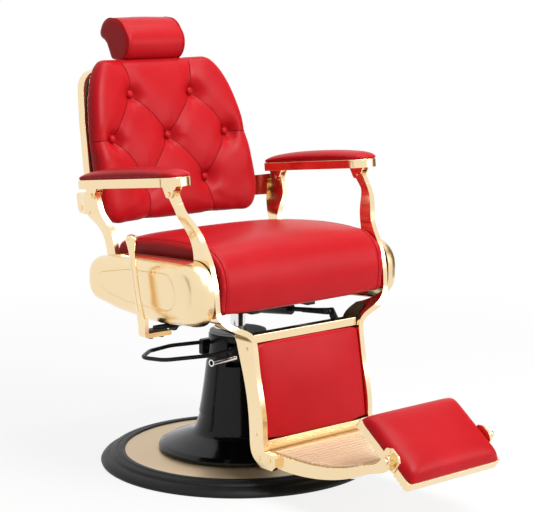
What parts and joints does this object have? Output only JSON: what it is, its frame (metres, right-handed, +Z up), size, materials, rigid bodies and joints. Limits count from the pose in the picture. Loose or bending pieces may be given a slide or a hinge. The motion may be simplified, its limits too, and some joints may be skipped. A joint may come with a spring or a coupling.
{
  "type": "hydraulic barber chair",
  "caption": "Reclining hydraulic barber chair on a round base, with buttoned back, headrest, armrests, side covers, ribbed footplate and a foot pad that turns over.",
  "frame": {"origin": "on the floor, on the swivel axis", "axes": "+Z up, -Y towards the sitter's front, -X towards the sitter's right hand"},
  "size_m": [0.7155, 1.2097, 1.109],
  "materials": {
    "gold_plated_cast": "polished champagne gold plating",
    "gold_plated_steel": "polished champagne gold plating on steel",
    "red_upholstery": "smooth red, slight sheen",
    "black_rubber": "satin black with ring grooves",
    "gloss_black_shroud": "gloss black",
    "grey_cap": "satin grey",
    "chrome": "polished",
    "black_steel": "satin black",
    "bare_steel": "machined",
    "board": "dark stained plywood"
  },
  "bodies": {
    "base": {"rubber_ring": "black_rubber", "base_plate": "gold_plated_steel", "base_hub": "bare_steel", "hub_bolts": "bare_steel", "swivel_bearing": "bare_steel"},
    "pump_unit": {"pump_cylinder": "bare_steel", "dome_cover": "gloss_black_shroud", "tower_cover": "gloss_black_shroud", "tower_side_panel": "gloss_black_shroud", "tower_cap": "grey_cap"},
    "pump_lever": {"pump_lever": "black_steel", "lever_yoke": "black_steel", "lever_stub": "chrome"},
    "seat": {"piston": "chrome", "seat_mount": "black_steel", "seat_frame": "black_steel", "seat_board": "board", "seat_cushion": "red_upholstery", "side_plates": "black_steel", "pivot_pins": "bare_steel", "side_cover_right": "gold_plated_cast", "side_cover_left": "gold_plated_cast"},
    "legrest": {"front_casting_right": "gold_plated_cast", "front_casting_left": "gold_plated_cast", "calf_top_bar": "gold_plated_cast", "calf_cushion": "red_upholstery", "calf_board": "board", "calf_bottom_bar": "gold_plated_cast", "footplate": "gold_plated_cast", "foot_walls": "gold_plated_cast", "glides": "chrome", "rail_bolts": "gold_plated_steel", "lock_link": "black_steel"},
    "foot_pad": {"foot_pad_frame": "gold_plated_cast", "foot_pad_cushion": "red_upholstery", "foot_pad_trunnions": "gold_plated_steel"},
    "backrest": {"rear_casting_right": "gold_plated_cast", "rear_casting_left": "gold_plated_cast", "back_frame": "gold_plated_cast", "back_board": "board", "back_cushion": "red_upholstery", "back_buttons": "red_upholstery", "back_bolts": "gold_plated_steel", "headrest_guide": "bare_steel"},
    "headrest_post": {"headrest_post": "gold_plated_steel"},
    "headrest": {"headrest_plate": "gold_plated_steel", "headrest_cushion": "red_upholstery"},
    "armrest_right": {"arm_trim_right": "gold_plated_cast", "arm_pad_right": "red_upholstery", "arm_fork_right": "gold_plated_cast", "arm_pins_right": "bare_steel"},
    "armrest_left": {"arm_trim_left": "gold_plated_cast", "arm_pad_left": "red_upholstery", "arm_fork_left": "gold_plated_cast", "arm_pins_left": "bare_steel"},
    "recline_cylinder": {"lock_cylinder": "black_steel"},
    "recline_rod": {"lock_rod": "bare_steel"},
    "recline_lever": {"recline_handle": "gold_plated_steel", "recline_shaft": "black_steel"}
  },
  "joints": [
    {"name": "swivel", "type": "hinge", "parent": "base", "child": "pump_unit", "pos_m": [0, 0, 0], "axis": [0, 0, 1], "continuous": true},
    {"name": "lift", "type": "slide", "parent": "pump_unit", "child": "seat", "axis": [0, 0, 1], "range_m": [0, 0.16]},
    {"name": "pump_lever_stroke", "type": "hinge", "parent": "pump_unit", "child": "pump_lever", "pos_m": [-0.052, 0, 0.287], "axis": [0, -1, 0], "range_deg": [0, 20], "stiffness_Nm_per_rad": 20, "springref_deg": -5.73},
    {"name": "recline", "type": "hinge", "parent": "seat", "child": "backrest", "pos_m": [0, 0.128, 0.4565], "axis": [-1, 0, 0], "range_deg": [0, 38]},
    {"name": "legrest_swing", "type": "hinge", "parent": "seat", "child": "legrest", "pos_m": [0, -0.185, 0.49], "axis": [-1, 0, 0], "range_deg": [0, 38]},
    {"name": "armrest_right_level", "type": "hinge", "parent": "backrest", "child": "armrest_right", "pos_m": [-0.3, 0.189, 0.682], "axis": [-1, 0, 0], "range_deg": [-38, 0]},
    {"name": "armrest_left_level", "type": "hinge", "parent": "backrest", "child": "armrest_left", "pos_m": [0.3, 0.189, 0.682], "axis": [-1, 0, 0], "range_deg": [-38, 0]},
    {"name": "recline_cylinder_tilt", "type": "hinge", "parent": "seat", "child": "recline_cylinder", "pos_m": [0.12, 0.11, 0.361], "axis": [-1, 0, 0], "range_deg": [0, 3.9]},
    {"name": "recline_rod_slide", "type": "slide", "parent": "recline_cylinder", "child": "recline_rod", "axis": [0, -0.9935, 0.1143], "range_m": [0, 0.058]},
    {"name": "headrest_height", "type": "slide", "parent": "backrest", "child": "headrest_post", "axis": [0, 0.3256, 0.9455], "range_m": [0, 0.08]},
    {"name": "headrest_tilt", "type": "hinge", "parent": "headrest_post", "child": "headrest", "pos_m": [0, 0.431, 1.019], "axis": [-1, 0, 0], "range_deg": [0, 45]},
    {"name": "foot_pad_turn", "type": "hinge", "parent": "legrest", "child": "foot_pad", "pos_m": [0, -0.695, 0.1755], "axis": [1, 0, 0], "range_deg": [0, 180]},
    {"name": "recline_lever_pull", "type": "hinge", "parent": "seat", "child": "recline_lever", "pos_m": [-0.352, -0.064, 0.391], "axis": [-1, 0, 0], "range_deg": [0, 18], "stiffness_Nm_per_rad": 6, "springref_deg": -5.73}
  ],
  "couplings": [
    {"joint": "legrest_swing", "follows": "recline", "ratio": 1},
    {"joint": "armrest_right_level", "follows": "recline", "ratio": -1},
    {"joint": "armrest_left_level", "follows": "recline", "ratio": -1},
    {"joint": "recline_cylinder_tilt", "follows": "recline", "ratio": 0.099202},
    {"joint": "recline_rod_slide", "follows": "recline", "m_per_rad": 0.08657}
  ]
}
